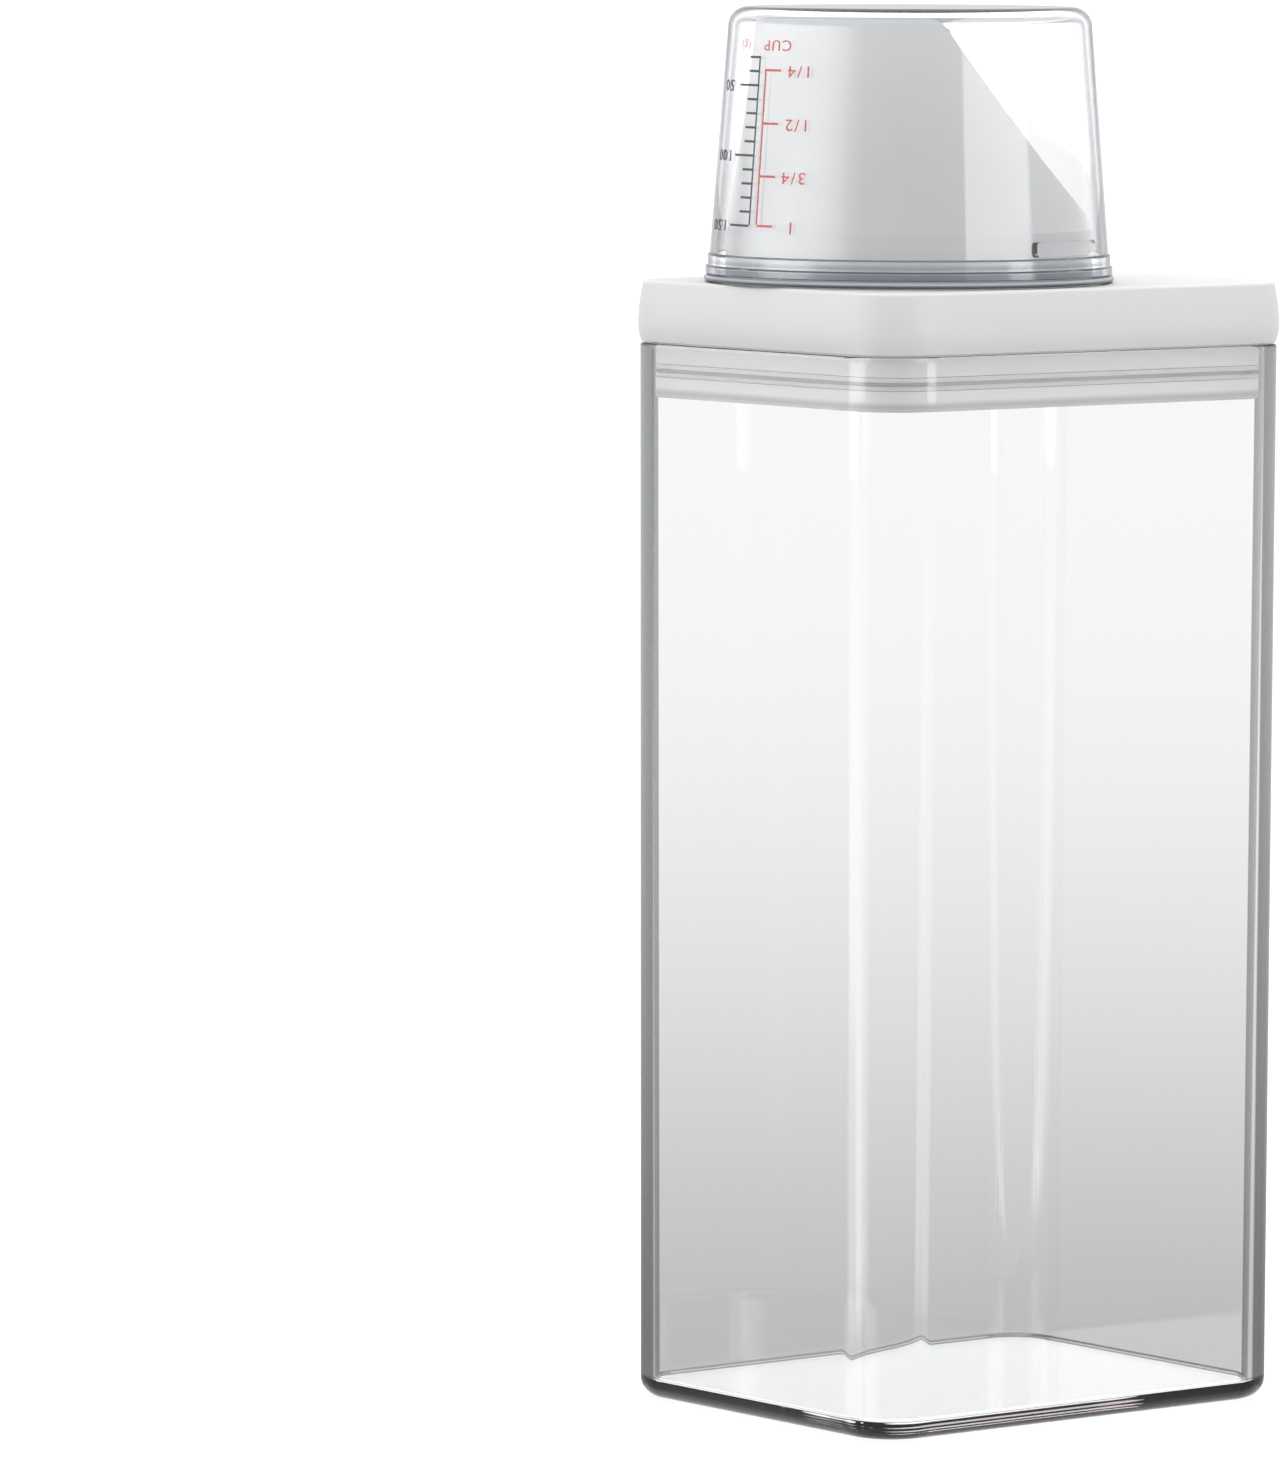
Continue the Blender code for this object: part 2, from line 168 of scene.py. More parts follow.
def rect_ring(half, corner, z):
    """A rounded rectangle, counter-clockwise from +X.

    It has extra points beside the corners and in the middle of each flat.
    """
    points = []
    for quarter, (side_x, side_y) in enumerate(((1, 1), (-1, 1), (-1, -1), (1, -1))):
        centre_x = side_x * (half[0] - corner)
        centre_y = side_y * (half[1] - corner)
        arc_points = []
        for step in range(CORNER_STEPS + 1):
            angle = math.pi / 2 * (quarter + step / CORNER_STEPS)
            x = centre_x + corner * math.cos(angle)
            arc_points.append((x, centre_y + corner * math.sin(angle)))
        along = Vector((-math.sin(math.pi / 2 * quarter), math.cos(math.pi / 2 * quarter)))
        leave = Vector((-along.y, along.x))
        first = Vector(arc_points[0]) - along * FLAT_MARGIN
        last = Vector(arc_points[-1]) + leave * FLAT_MARGIN
        points.append((first.x, first.y, z))
        points += [(x, y, z) for x, y in arc_points]
        points.append((last.x, last.y, z))
        run = 2 * ((half[0], half[1])[quarter % 2] - corner) - 2 * FLAT_MARGIN
        middle = last + leave * (run / 2)
        points.append((middle.x, middle.y, z))
    return points


def inset_ring(half, corner, inset, z):
    return rect_ring((half[0] - inset, half[1] - inset), corner - inset, z)


def about_axis(radius, angle, z):
    """The point at a radius and a plan angle about the spout's axis."""
    return (SPOUT_AXIS[0] + radius * math.cos(angle), SPOUT_AXIS[1] + radius * math.sin(angle), z)


def round_ring(radius, z):
    turn = 2 * math.pi
    return [about_axis(radius, turn * step / ROUND_STEPS, z) for step in range(ROUND_STEPS)]


def add_mesh(name, work):
    """Turns a bmesh into an object with outward normals, smooth except at sharp edges."""
    bmesh.ops.recalc_face_normals(work, faces=work.faces)
    mesh = bpy.data.meshes.new(name)
    work.to_mesh(mesh)
    work.free()
    mesh.shade_smooth()
    mesh.set_sharp_from_angle(angle=SHARP)
    obj = bpy.data.objects.new(name, mesh)
    bpy.context.scene.collection.objects.link(obj)
    return obj


def loft(name, rings, looped=False):
    """Skins rings of equal length in order. The ends are capped, or joined to each other when looped."""
    work = bmesh.new()
    loops = [[work.verts.new(point) for point in ring] for ring in rings]
    pairs = list(zip(loops, loops[1:]))
    if looped:
        pairs.append((loops[-1], loops[0]))
    else:
        work.faces.new(loops[0])
        work.faces.new(loops[-1])
    count = len(loops[0])
    for lower, upper in pairs:
        for i in range(count):
            j = (i + 1) % count
            work.faces.new((lower[i], lower[j], upper[j], upper[i]))
    return add_mesh(name, work)


def lathe(name, profile, looped=False):
    """Turns a profile of (radius, height) about the spout's axis."""
    return loft(name, [round_ring(radius, z) for radius, z in profile], looped)


def combine(obj, other, operation):
    """Applies a Boolean to obj and deletes the other object."""
    modifier = obj.modifiers.new("combine", "BOOLEAN")
    modifier.object = other
    modifier.operation = operation
    modifier.solver = "EXACT"
    apply_modifiers(obj)
    bpy.data.objects.remove(other, do_unlink=True)


def apply_modifiers(obj):
    graph = bpy.context.evaluated_depsgraph_get()
    mesh = bpy.data.meshes.new_from_object(obj.evaluated_get(graph))
    obj.modifiers.clear()
    obj.data = mesh
    mesh.shade_smooth()
    mesh.set_sharp_from_angle(angle=SHARP)


def even_shading(obj):
    """Weights the normals by face area, so that flats stay flat next to small roundings."""
    modifier = obj.modifiers.new("even_shading", "WEIGHTED_NORMAL")
    modifier.keep_sharp = True
    modifier.weight = 100


# ---------------------------------------------------------------- materials

NOISE_RANGE = (0.3, 0.7)  # where most of a noise pattern's values lie
PLASTIC_IOR = 1.49
SILICONE_IOR = 1.43
FLAT_EDGE = (0.76, 0.84)  # where a level face's painted edge shade begins and is full, as a share of edge-on
LEVEL_FACE = 0.97  # how upright the normal of a level face is, at least
LEDGE_FACE = 0.7  # and of a ledge
FRONT_FACE = -0.5  # the most that y is in the normal of a face towards -Y
# painted shade on the low ledges of clear plastic
LEDGE_SHADE = (0.12, 0.13, 0.16)
SHADOW_TINT = (0.92, 0.925, 0.93)
PLAIN = (1.0, 1.0, 1.0)
CLEAR_FACE = (0.985, 0.99, 0.995)


class Paint:
    """A material's node tree, with short calls to add nodes and link them."""

    def __init__(self, name):
        self.material = bpy.data.materials.new(name)
        self.material.use_nodes = True
        self.tree = self.material.node_tree
        self.shader = self.tree.nodes["Principled BSDF"]
        self.output = self.tree.nodes["Material Output"]

    def node(self, kind, **values):
        return add_node(self.tree, kind, **values)

    def link(self, source, target):
        self.tree.links.new(source, target)

    def place(self):
        return self.node("ShaderNodeTexCoord").outputs["Object"]

    def noise(self, scale, detail=2.0, stretch=None):
        texture = self.node("ShaderNodeTexNoise")
        texture.inputs["Scale"].default_value = scale
        texture.inputs["Detail"].default_value = detail
        place = self.place()
        if stretch:
            mapping = self.node("ShaderNodeMapping")
            mapping.inputs["Scale"].default_value = stretch
            self.link(place, mapping.inputs["Vector"])
            place = mapping.outputs["Vector"]
        self.link(place, texture.inputs["Vector"])
        return texture.outputs["Fac"]

    def spread(self, value, low, high):
        """Maps a 0-1 pattern onto low to high."""
        node = self.node("ShaderNodeMapRange")
        node.inputs["From Min"].default_value = NOISE_RANGE[0]
        node.inputs["From Max"].default_value = NOISE_RANGE[1]
        node.inputs["To Min"].default_value = low
        node.inputs["To Max"].default_value = high
        self.link(value, node.inputs["Value"])
        return node.outputs["Result"]

    def step(self, value, begin, end):
        return soft_step(self.tree, value, begin, end)

    def blend(self, value, first, second):
        """A colour between first and second."""
        node = self.node("ShaderNodeMix", data_type="RGBA")
        node.inputs[6].default_value = (*first, 1.0)
        node.inputs[7].default_value = (*second, 1.0)
        self.link(value, node.inputs[0])
        return node.outputs[2]

    def mix(self, share, first, second, blend_type="MIX"):
        """Mixes two colour outputs. share is an output or a number."""
        node = self.node("ShaderNodeMix", data_type="RGBA", blend_type=blend_type)
        if isinstance(share, float):
            node.inputs[0].default_value = share
        else:
            self.link(share, node.inputs[0])
        self.link(first, node.inputs[6])
        self.link(second, node.inputs[7])
        return node.outputs[2]

    def multiply(self, first, second):
        return self.mix(1.0, first, second, "MULTIPLY")

    def height(self):
        split = self.node("ShaderNodeSeparateXYZ")
        self.link(self.place(), split.inputs["Vector"])
        return split.outputs["Z"]

    def beyond(self, reach):
        """1 where the place is further out than reach in both x and y, otherwise 0."""
        split = self.node("ShaderNodeSeparateXYZ")
        self.link(self.place(), split.inputs["Vector"])
        outside = []
        for axis, limit in zip("XY", reach):
            out = math_node(self.tree, "ABSOLUTE", split.outputs[axis])
            outside.append(math_node(self.tree, "GREATER_THAN", out, limit))
        return times(self.tree, *outside)

    def bands(self, rows):
        """A colour by height. rows holds (height, colour), from the lowest up."""
        low, high = rows[0][0], rows[-1][0]
        share = self.node("ShaderNodeMapRange")
        share.inputs["From Min"].default_value = low
        share.inputs["From Max"].default_value = high
        self.link(self.height(), share.inputs["Value"])
        ramp = self.node("ShaderNodeValToRGB")
        stops = ramp.color_ramp.elements
        stops.remove(stops[1])
        for place, (height, colour) in enumerate(rows):
            at = (height - low) / (high - low)
            stop = stops.new(at) if place else stops[0]
            stop.position = at
            stop.color = (*colour, 1.0)
        self.link(share.outputs["Result"], ramp.inputs["Fac"])
        return ramp.outputs["Color"]

    def bump(self, heights):
        """Stacks bumps, each (pattern, depth in metres), and links them to the shader's normal."""
        normal = None
        for height, depth in heights:
            node = self.node("ShaderNodeBump")
            node.inputs["Strength"].default_value = 1.0
            node.inputs["Distance"].default_value = depth
            self.link(height, node.inputs["Height"])
            if normal:
                self.link(normal, node.inputs["Normal"])
            normal = node.outputs["Normal"]
        self.link(normal, self.shader.inputs["Normal"])

    def set(self, **values):
        for name, value in values.items():
            self.shader.inputs[name.replace("_", " ")].default_value = value


def add_node(tree, kind, **values):
    node = tree.nodes.new(kind)
    for name, value in values.items():
        setattr(node, name, value)
    return node


def math_node(tree, operation, first, second=None):
    """A Math node. Each input is a number or a socket."""
    node = add_node(tree, "ShaderNodeMath", operation=operation)
    for socket, value in zip(node.inputs, (first, second)):
        if value is None:
            continue
        if isinstance(value, (int, float)):
            socket.default_value = value
        else:
            tree.links.new(value, socket)
    return node.outputs["Value"]


def times(tree, first, second):
    return math_node(tree, "MULTIPLY", first, second)


def plus(tree, first, second):
    return math_node(tree, "ADD", first, second)


def vector_node(tree, operation, vector, second=None):
    """A Vector Math node on a socket and, where it needs one, a fixed vector."""
    node = add_node(tree, "ShaderNodeVectorMath", operation=operation)
    tree.links.new(vector, node.inputs[0])
    if second:
        node.inputs[1].default_value = second
    return node.outputs["Value" if operation in ("DOT_PRODUCT", "LENGTH") else "Vector"]


def soft_step(tree, value, begin, end, low=0.0, high=1.0):
    """Goes smoothly from low to high while value goes from begin to end."""
    ramp = add_node(tree, "ShaderNodeMapRange", interpolation_type="SMOOTHSTEP")
    for name, setting in (("From Min", begin), ("From Max", end), ("To Min", low), ("To Max", high)):
        ramp.inputs[name].default_value = setting
    tree.links.new(value, ramp.inputs["Value"])
    return ramp.outputs["Result"]


def pass_shadow_light(paint):
    """Lets shadow rays through a clear piece, tinted a little."""
    path = paint.node("ShaderNodeLightPath")
    through = paint.node("ShaderNodeBsdfTransparent")
    through.inputs["Color"].default_value = (*SHADOW_TINT, 1.0)
    mix = paint.node("ShaderNodeMixShader")
    paint.link(path.outputs["Is Shadow Ray"], mix.inputs["Fac"])
    paint.link(paint.shader.outputs["BSDF"], mix.inputs[1])
    paint.link(through.outputs["BSDF"], mix.inputs[2])
    paint.link(mix.outputs["Shader"], paint.output.inputs["Surface"])


def clear_plastic(name, edge, edge_steps, foot, ledge_top, flow_depth, front_foot=None, corners=None):
    """Clear moulded plastic: faint flow waves, hairline scuffs, and a deeper tone seen edge-on.

    edge is a painted shade, the dark tone a clear wall shows edge-on, and edge_steps says where it
    begins and is full, as a share of edge-on.
    With corners, an (x, y), it keeps to what is further out than both, apart from level faces.
    foot is a row of (height, colour): painted shade by height, at the thick foot.
    front_foot is the same on faces towards -Y. Ledges below ledge_top get a painted dark shade too.
    """
    paint = Paint(name)
    paint.set(Transmission_Weight=1.0, IOR=PLASTIC_IOR)
    haze = paint.noise(60.0, 4.0)
    paint.link(paint.spread(haze, 0.004, 0.022), paint.shader.inputs["Roughness"])
    # painted shade: a dark tone on faces seen edge-on
    facing = paint.node("ShaderNodeLayerWeight")
    facing.inputs["Blend"].default_value = 0.5
    facing = facing.outputs["Facing"]
    normal = paint.node("ShaderNodeSeparateXYZ")
    paint.link(paint.node("ShaderNodeNewGeometry").outputs["True Normal"], normal.inputs["Vector"])
    upright = math_node(paint.tree, "ABSOLUTE", normal.outputs["Z"])
    turned = paint.step(facing, *edge_steps)
    if corners:
        turned = times(paint.tree, turned, paint.beyond(corners))
    lies_flat = math_node(paint.tree, "GREATER_THAN", upright, LEVEL_FACE)
    edge_on = add_node(paint.tree, "ShaderNodeMix", data_type="FLOAT")
    paint.link(lies_flat, edge_on.inputs[0])
    paint.link(turned, edge_on.inputs[2])
    paint.link(paint.step(facing, *FLAT_EDGE), edge_on.inputs[3])
    tone = paint.blend(edge_on.outputs[0], CLEAR_FACE, edge)
    # painted shade by height at the foot
    foot_shade = paint.bands(foot)
    if front_foot:
        front = math_node(paint.tree, "LESS_THAN", normal.outputs["Y"], FRONT_FACE)
        foot_shade = paint.mix(front, foot_shade, paint.bands(front_foot))
    tone = paint.multiply(tone, foot_shade)
    # painted shade on ledges low on the piece
    level = math_node(paint.tree, "GREATER_THAN", upright, LEDGE_FACE)
    low = math_node(paint.tree, "LESS_THAN", paint.height(), ledge_top)
    ledge = times(paint.tree, level, low)
    tone = paint.multiply(tone, paint.blend(ledge, PLAIN, LEDGE_SHADE))
    paint.link(tone, paint.shader.inputs["Base Color"])
    flow = paint.noise(14.0, 1.0, (1.0, 1.0, 0.35))
    scuffs = paint.noise(900.0, 3.0, (1.0, 1.0, 0.05))
    paint.bump(((flow, flow_depth), (scuffs, 0.0000012)))
    pass_shadow_light(paint)
    return paint.material


def white_plastic(name, pale, deep, rough, foot=None):
    """Satin moulded plastic: a fine spark-eroded grain with slow changes of tone and gloss.

    foot is a row of (height, colour): painted shade by height.
    """
    paint = Paint(name)
    slow = paint.noise(18.0, 2.0)
    grain = paint.noise(2600.0, 2.0)
    tone = paint.blend(paint.spread(slow, 0.0, 1.0), pale, deep)
    if foot:
        tone = paint.multiply(tone, paint.bands(foot))
    paint.link(tone, paint.shader.inputs["Base Color"])
    gloss = paint.spread(paint.noise(140.0, 3.0), rough - 0.04, rough + 0.04)
    paint.link(gloss, paint.shader.inputs["Roughness"])
    paint.set(IOR=PLASTIC_IOR)
    paint.bump(((slow, 0.00004), (grain, 0.000006)))
    return paint.material


def frosted_plastic(name):
    """Semi-clear polypropylene: light goes through it, scattered by a matt grain."""
    paint = Paint(name)
    cloud = paint.noise(35.0, 3.0)
    grain = paint.noise(1800.0, 2.0)
    tone = paint.blend(paint.spread(cloud, 0.0, 1.0), (0.845, 0.85, 0.855), (0.805, 0.81, 0.82))
    paint.link(tone, paint.shader.inputs["Base Color"])
    paint.link(paint.spread(cloud, 0.30, 0.38), paint.shader.inputs["Roughness"])
    paint.set(Transmission_Weight=0.25, IOR=PLASTIC_IOR)
    paint.bump(((cloud, 0.00005), (grain, 0.000006)))
    return paint.material


def silicone(name, pale, deep, rough, clear, foot=None):
    """Soft silicone: milky, with a dusty bloom and faint moulding specks.

    foot is a row of (height, colour): painted shade by height.
    """
    paint = Paint(name)
    bloom = paint.noise(220.0, 4.0)
    tone = paint.blend(paint.spread(bloom, 0.0, 1.0), pale, deep)
    if foot:
        tone = paint.multiply(tone, paint.bands(foot))
    paint.link(tone, paint.shader.inputs["Base Color"])
    paint.link(paint.spread(bloom, rough - 0.06, rough + 0.06), paint.shader.inputs["Roughness"])
    paint.set(Transmission_Weight=clear, IOR=SILICONE_IOR)
    paint.bump(((bloom, 0.00002), (paint.noise(3000.0, 1.0), 0.000004)))
    return paint.material


def ink(name, full, worn):
    """Screen-printed ink: slightly uneven cover with a matt tooth."""
    paint = Paint(name)
    cover = paint.noise(1500.0, 4.0)
    tone = paint.blend(paint.spread(cover, 0.0, 1.0), full, worn)
    paint.link(tone, paint.shader.inputs["Base Color"])
    paint.link(paint.spread(cover, 0.42, 0.58), paint.shader.inputs["Roughness"])
    paint.bump(((cover, 0.000008),))
    return paint.material


# ---------------------------------------------------------------- jar


def make_jar():
    """A drawn box with a thick floor. Its walls thicken towards the base."""

    def low(z):
        return 1 - z / JAR_HEIGHT

    outer = arc((JAR_BASE_FILLET, JAR_BASE_FILLET), JAR_BASE_FILLET, 270, 180)
    outer.insert(0, (JAR_BASE_FILLET + FLAT_MARGIN, 0.0))
    outer.append((0.0, JAR_BASE_FILLET + FLAT_MARGIN))
    outer.append((0.0, JAR_HEIGHT / 2))
    outer.append((0.0, JAR_HEIGHT - JAR_RIM_ROUND - FLAT_MARGIN))
    outer += arc((JAR_RIM_ROUND, JAR_HEIGHT - JAR_RIM_ROUND), JAR_RIM_ROUND, 180, 90, SMALL_STEPS)
    lip = (JAR_WALL - JAR_RIM_ROUND, JAR_HEIGHT - JAR_RIM_ROUND)
    inner = arc(lip, JAR_RIM_ROUND, 90, 0, SMALL_STEPS)
    inner.append((JAR_WALL, JAR_HEIGHT - JAR_RIM_ROUND - FLAT_MARGIN))
    inner.append((JAR_WALL, JAR_HEIGHT / 2))
    inner.append((JAR_WALL, JAR_FLOOR + JAR_INNER_FILLET + FLAT_MARGIN))
    corner = (JAR_WALL + JAR_INNER_FILLET, JAR_FLOOR + JAR_INNER_FILLET)
    inner += arc(corner, JAR_INNER_FILLET, 180, 270)
    inner.append((corner[0] + FLAT_MARGIN, JAR_FLOOR))
    rings = [inset_ring(JAR_HALF, JAR_CORNER, inset + JAR_DRAFT * low(z), z) for inset, z in outer]
    for inset, z in inner:
        drawn = inset + (JAR_DRAFT + JAR_WALL_GROWTH) * low(z)
        rings.append(inset_ring(JAR_HALF, JAR_CORNER, drawn, z))
    return loft("clear_jar", rings)


# ---------------------------------------------------------------- lid


def lid_side():
    """The lid's outside as (inset, height above its foot): tucked foot, slow bulge, rounded top."""
    foot = (LID_TUCK + LID_FOOT_ROUND, LID_FOOT_ROUND)
    points = arc(foot, LID_FOOT_ROUND, 270, 180, SMALL_STEPS)
    widest = LID_WIDEST * LID_HEIGHT
    shoulder = LID_HEIGHT - LID_TOP_ROUND
    steps = 10
    for step in range(1, steps):
        up = LID_FOOT_ROUND + (shoulder - LID_FOOT_ROUND) * step / steps
        if up < widest:
            inset = LID_TUCK * ((widest - up) / (widest - LID_FOOT_ROUND)) ** 2
        else:
            inset = LID_LEAN * ((up - widest) / (shoulder - widest)) ** 2
        points.append((inset, up))
    points += arc((LID_LEAN + LID_TOP_ROUND, shoulder), LID_TOP_ROUND, 170, 90)
    points.append((LID_LEAN + LID_TOP_ROUND + FLAT_MARGIN, LID_HEIGHT))
    return points


def make_lid_cover():
    foot = LID_LOW.z
    under = LID_TOP - LID_DECK
    rings = [inset_ring(LID_HALF, LID_CORNER, inset, foot + up) for inset, up in reversed(lid_side())]
    rings.append(inset_ring(LID_HALF, LID_CORNER, LID_WALL, foot))
    rings.append(inset_ring(LID_HALF, LID_CORNER, LID_WALL, under - GAP))
    rings.append(inset_ring(LID_HALF, LID_CORNER, LID_WALL + GAP, under))
    cover = loft("white_lid_cover", rings)
    rib_foot = SPOUT_LOW.z + FLANGE_HEIGHT + GAP
    middle = under + LID_DECK / 2
    inside = NECK_RADIUS - GAP
    rib = ((FLANGE_RADIUS, rib_foot), (FLANGE_RADIUS, middle), (inside, middle), (inside, rib_foot))
    combine(cover, lathe("rib", rib, looped=True), "UNION")
    bore = NECK_RADIUS + GAP
    cutter = ((bore, rib_foot - LID_DECK), (bore, LID_TOP - GAP), (bore + 2 * GAP, LID_TOP + GAP))
    combine(cover, lathe("bore", cutter), "DIFFERENCE")
    even_shading(cover)
    return cover


def make_lid_plug():
    """A plate over the jar's rim with a round throat, and a grooved wall down inside the jar."""
    inner = (JAR_HALF[0] - JAR_WALL, JAR_HALF[1] - JAR_WALL)
    corner = JAR_CORNER - JAR_WALL
    plate_inset = LID_WALL + GAP
    foot = PLUG_LOW.z
    half_groove = GROOVE_HEIGHT / 2
    face = PLUG_INSET
    back = PLUG_INSET + PLUG_WALL
    wall = [
        (face, LID_LOW.z),
        (face, GASKET_MIDDLE + half_groove),
        (face + GROOVE_DEPTH, GASKET_MIDDLE + half_groove),
        (face + GROOVE_DEPTH, GASKET_MIDDLE - half_groove),
        (face, GASKET_MIDDLE - half_groove),
    ]
    wall += arc((face + PLUG_ROUND, foot + PLUG_ROUND), PLUG_ROUND, 180, 270, SMALL_STEPS)
    wall += arc((back - PLUG_ROUND, foot + PLUG_ROUND), PLUG_ROUND, 270, 360, SMALL_STEPS)
    wall.append((back, LID_LOW.z))
    rings = [inset_ring(LID_HALF, LID_CORNER, plate_inset, LID_LOW.z + PLUG_PLATE)]
    rings.append(inset_ring(LID_HALF, LID_CORNER, plate_inset, LID_LOW.z))
    rings += [inset_ring(inner, corner, inset, z) for inset, z in wall]
    plug = loft("white_lid_plug", rings)
    throat = ((THROAT_RADIUS, LID_LOW.z - PLUG_PLATE), (THROAT_RADIUS, LID_LOW.z + 2 * PLUG_PLATE))
    combine(plug, lathe("throat", throat), "DIFFERENCE")
    even_shading(plug)
    return plug


def make_gasket():
    """A soft ring that fills the plug's groove, with a thin round-tipped fin against the jar."""
    inner = (JAR_HALF[0] - JAR_WALL, JAR_HALF[1] - JAR_WALL)
    corner = JAR_CORNER - JAR_WALL
    back = PLUG_INSET + GROOVE_DEPTH - GROOVE_GAP
    half = GROOVE_HEIGHT / 2 - GROOVE_GAP
    root, tip = GASKET_FIN
    section = [(back, -half), (PLUG_INSET, -half), (PLUG_INSET, -root)]
    section += arc((GAP + tip, 0.0), tip, 270, 90, 8)
    section += [(PLUG_INSET, root), (PLUG_INSET, half), (back, half)]
    rings = [inset_ring(inner, corner, inset, GASKET_MIDDLE + up) for inset, up in section]
    return loft("lid_gasket_ring", rings, looped=True)


# ---------------------------------------------------------------- spout


def spout_radius(up):
    left = 1 - (up - COLLAR_HEIGHT) / (SPOUT_HEIGHT - COLLAR_HEIGHT)
    return CONE_TOP_RADIUS + (CONE_BASE_RADIUS - CONE_TOP_RADIUS) * left**CONE_CURVE


def mouth_outline():
    """The cut above the slanted mouth as (out from the axis, up from the lid)."""
    clear = 0.0200
    points = [(MOUTH_TOP_START - GAP, SPOUT_HEIGHT + GAP)]
    centre = (MOUTH_TOP_START, SPOUT_HEIGHT - MOUTH_ROUND)
    points += arc(centre, MOUTH_ROUND, MOUTH_ROUND_BEGIN, 90 - MOUTH_SLOPE)
    start = Vector(points[-1])
    span = Vector(MOUTH_LIP) - start
    across = Vector((span.y, -span.x)).normalized()
    for step in range(1, CURVE_STEPS + 1):
        t = step / CURVE_STEPS
        point = start + span * t + across * (4 * MOUTH_SAG * t * (1 - t))
        points.append((point.x, point.y))
    points.append((MOUTH_LIP[0] + clear, MOUTH_LIP[1]))
    points.append((MOUTH_LIP[0] + clear, SPOUT_HEIGHT + clear))
    points.append((MOUTH_TOP_START - GAP, SPOUT_HEIGHT + clear))
    return points


def mouth_cutter():
    along = Vector((math.cos(MOUTH_ANGLE), math.sin(MOUTH_ANGLE)))
    side = Vector((-along.y, along.x)) * (2 * COLLAR_RADIUS)
    work = bmesh.new()
    rows = []
    for hand in (-1, 1):
        row = []
        for out, up in mouth_outline():
            place = Vector(SPOUT_AXIS) + along * out + side * hand
            row.append(work.verts.new((place.x, place.y, LID_TOP + up)))
        rows.append(row)
        work.faces.new(row)
    count = len(rows[0])
    for i in range(count):
        j = (i + 1) % count
        work.faces.new((rows[0][i], rows[0][j], rows[1][j], rows[1][i]))
    return add_mesh("mouth_cutter", work)


def make_spout():
    """A flared tube with a flange below the deck, a stepped collar and a slanted mouth."""
    foot = SPOUT_LOW.z
    steps = 16
    rise = (SPOUT_HEIGHT - COLLAR_HEIGHT) / steps
    heights = [COLLAR_HEIGHT + rise * step for step in range(steps + 1)]
    outer = [
        (FLANGE_RADIUS - GAP, foot),
        (FLANGE_RADIUS - GAP, foot + FLANGE_HEIGHT),
        (NECK_RADIUS, foot + FLANGE_HEIGHT),
        (NECK_RADIUS, LID_TOP),
        (COLLAR_RADIUS, LID_TOP + 2 * GAP),
        (COLLAR_RADIUS, LID_TOP + COLLAR_HEIGHT - 2 * GAP),
        (COLLAR_RADIUS - GAP / 2, LID_TOP + COLLAR_HEIGHT - GAP),
    ]
    outer += [(spout_radius(up), LID_TOP + up) for up in heights]
    inner = [(spout_radius(up) - SPOUT_WALL, LID_TOP + up) for up in reversed(heights)]
    inner.append((CONE_BASE_RADIUS - SPOUT_WALL, LID_TOP + 2 * GAP))
    inner.append((CONE_BASE_RADIUS - SPOUT_WALL, foot))
    spout = lathe("frosted_pour_spout", outer + inner, looped=True)
    combine(spout, mouth_cutter(), "DIFFERENCE")
    even_shading(spout)
    return spout


# ---------------------------------------------------------------- cup


def cup_radius(up):
    return CUP_BASE_RADIUS - (up - CUP_WALL_START) * CUP_DRAFT


def rib_block(angle):
    """A grip rib: a bar with rounded ends, bent round the inside of the cup's wall."""
    low, high = RIB_HEIGHTS
    middle = (low + high) / 2
    half = (high - low) / 2
    end = half * RIB_ROUNDING
    reach = math.radians(RIB_SPAN / 2) * CUP_BASE_RADIUS
    right = arc((reach - end, half - end), end, 0, 90, 6)
    columns = [(-across, tall) for across, tall in right]
    columns += [((reach - end) * (2 * step / CURVE_STEPS - 1), half) for step in range(1, CURVE_STEPS)]
    columns += reversed(right)
    work = bmesh.new()
    rows = []
    for across, tall in columns:
        turn = math.radians(angle) + across / CUP_BASE_RADIUS
        row = []
        for side, inside in ((-1, True), (-1, False), (1, False), (1, True)):
            up = middle + side * tall
            radius = COLLAR_RADIUS + GAP if inside else cup_radius(up) - CUP_WALL / 2
            row.append(work.verts.new(about_axis(radius, turn, LID_TOP + up)))
        rows.append(row)
    work.faces.new(rows[0])
    work.faces.new(rows[-1])
    for first, second in zip(rows, rows[1:]):
        for i in range(4):
            j = (i + 1) % 4
            work.faces.new((first[i], first[j], second[j], second[i]))
    return add_mesh("rib_block", work)


def make_cup():
    """A clear tapered cup, upside down, with a stepped rim and two grip ribs inside."""
    chamfer = CUP_CHAMFER
    outer = [(STEPS[0][0] - chamfer, CUP_RIM)]
    foot = CUP_RIM
    for radius, top in STEPS:
        outer += [(radius, foot + chamfer), (radius, top - chamfer), (radius - chamfer, top)]
        foot = top
    outer.append((cup_radius(foot), foot + chamfer))
    end_radius = cup_radius(CUP_HEIGHT - CUP_END_FILLET)
    corner = (end_radius - CUP_END_FILLET, CUP_HEIGHT - CUP_END_FILLET)
    outer.append((cup_radius(corner[1] - FLAT_MARGIN), corner[1] - FLAT_MARGIN))
    outer += arc(corner, CUP_END_FILLET, CUP_SLANT, 90, 16)
    outer.append((corner[0] - FLAT_MARGIN, CUP_HEIGHT))
    inner = [(corner[0] - FLAT_MARGIN, CUP_HEIGHT - CUP_END)]
    inner += arc(corner, CUP_END_FILLET - CUP_END, 90, CUP_SLANT, 12)
    inner.append((cup_radius(CUP_WALL_START) - CUP_WALL, CUP_WALL_START))
    inner.append((STEPS[0][0] - CUP_RIM_WALL, CUP_RIM))
    profile = [(radius, LID_TOP + up) for radius, up in reversed(outer)]
    profile += [(radius, LID_TOP + up) for radius, up in reversed(inner)]
    cup = lathe("clear_measuring_cup", profile)
    for angle in RIB_ANGLES:
        combine(cup, rib_block(angle), "UNION")
    return cup


